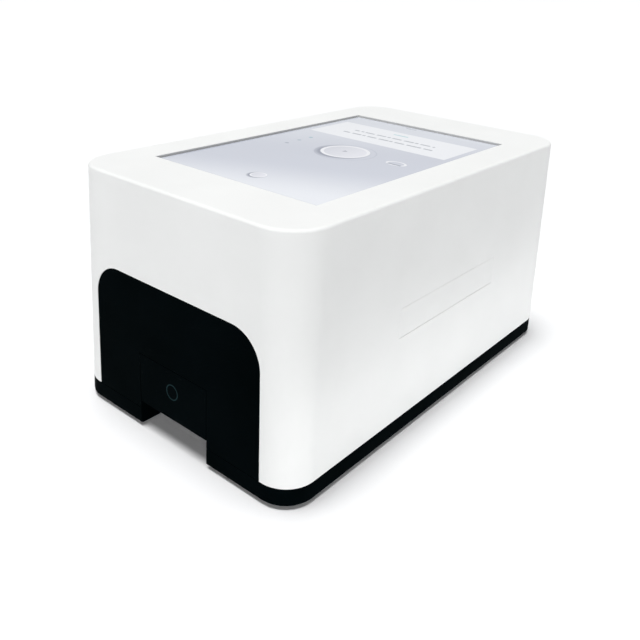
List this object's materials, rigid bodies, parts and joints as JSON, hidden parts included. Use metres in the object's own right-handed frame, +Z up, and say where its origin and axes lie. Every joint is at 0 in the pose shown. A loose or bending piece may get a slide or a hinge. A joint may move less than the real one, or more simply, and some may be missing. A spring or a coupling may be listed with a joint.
{
  "type": "rapid test reader",
  "caption": "Bench-top reader for rapid test cassettes: rounded white cover on a black base, large touch screen in the top and a small cassette drawer over a finger notch.",
  "frame": {"origin": "middle of the footprint on the resting plane, under the rubber feet", "axes": "+X to the reader's right as seen from its front, front with the drawer faces -Y, +Z up"},
  "size_m": [0.157, 0.259, 0.132],
  "materials": {
    "shell_white": "satin",
    "case_black": "satin",
    "tray_black": "matte",
    "switch_black": "gloss",
    "rail_grey": "matte",
    "rubber": "matte",
    "cover_glass": "polished",
    "lens_glass": "polished",
    "screen": "lit screen",
    "steel": "plated",
    "aluminium": "anodised",
    "board": "solder mask"
  },
  "bodies": {
    "case": {"outer_shell": "shell_white", "side_cover": "shell_white", "front_panel": "case_black", "base_tray": "case_black", "rear_panel": "case_black", "drawer_rail_left": "rail_grey", "drawer_rail_right": "rail_grey", "catch_magnet": "steel", "catch_bracket": "rail_grey", "optics_frame": "aluminium", "guide_rod_left": "steel", "guide_rod_right": "steel", "drive_motor": "steel", "idler_pin": "steel", "drive_belt": "rubber", "main_board": "board", "heat_sink": "aluminium", "display_cable": "rail_grey", "cover_glass": "cover_glass", "glass_gasket": "rubber", "display_panel": "screen", "display_bracket": "aluminium", "dc_inlet": "case_black", "usb_ports": "steel", "network_jack": "steel", "power_switch_housing": "switch_black", "foot_front_left": "rubber", "foot_front_right": "rubber", "foot_rear_left": "rubber", "foot_rear_right": "rubber", "case_screw_front_left": "steel", "case_screw_front_right": "steel", "case_screw_rear_left": "steel", "case_screw_rear_right": "steel", "board_screw_front_left": "steel", "board_screw_front_right": "steel", "board_screw_rear_left": "steel", "board_screw_rear_right": "steel", "display_screw_front_left": "steel", "display_screw_front_right": "steel", "display_screw_middle_left": "steel", "display_screw_middle_right": "steel", "display_screw_rear_left": "steel", "display_screw_rear_right": "steel", "motor_screw_front": "steel", "motor_screw_rear": "steel"},
    "drawer": {"drawer_front": "case_black", "cassette_tray": "tray_black", "striker_plate": "steel"},
    "scan_head": {"scan_carriage": "tray_black", "camera_module": "board", "lens_barrel": "tray_black", "front_lens": "lens_glass", "lamp_board": "board"},
    "drive_pulley": {"drive_pulley": "aluminium", "drive_shaft": "steel"},
    "idler_pulley": {"idler_pulley": "aluminium"},
    "power_rocker": {"power_rocker": "switch_black"}
  },
  "joints": [
    {"name": "drawer_slide", "type": "slide", "parent": "case", "child": "drawer", "axis": [0, -1, 0], "range_m": [0, 0.085]},
    {"name": "scan_slide", "type": "slide", "parent": "case", "child": "scan_head", "axis": [0, -1, 0], "range_m": [0, 0.055]},
    {"name": "drive_pulley_spin", "type": "hinge", "parent": "case", "child": "drive_pulley", "pos_m": [0.032, -0.029, 0.075], "axis": [1, 0, 0], "range_deg": [-458, 0]},
    {"name": "idler_pulley_spin", "type": "hinge", "parent": "case", "child": "idler_pulley", "pos_m": [0.032, -0.108, 0.075], "axis": [1, 0, 0], "range_deg": [-458, 0]},
    {"name": "rocker_tilt", "type": "hinge", "parent": "case", "child": "power_rocker", "pos_m": [-0.037, 0.123, 0.03], "axis": [1, 0, 0], "range_deg": [-20, 0]}
  ],
  "couplings": [
    {"joint": "drive_pulley_spin", "follows": "scan_slide", "rad_per_m": -144.93},
    {"joint": "idler_pulley_spin", "follows": "scan_slide", "rad_per_m": -144.93}
  ]
}
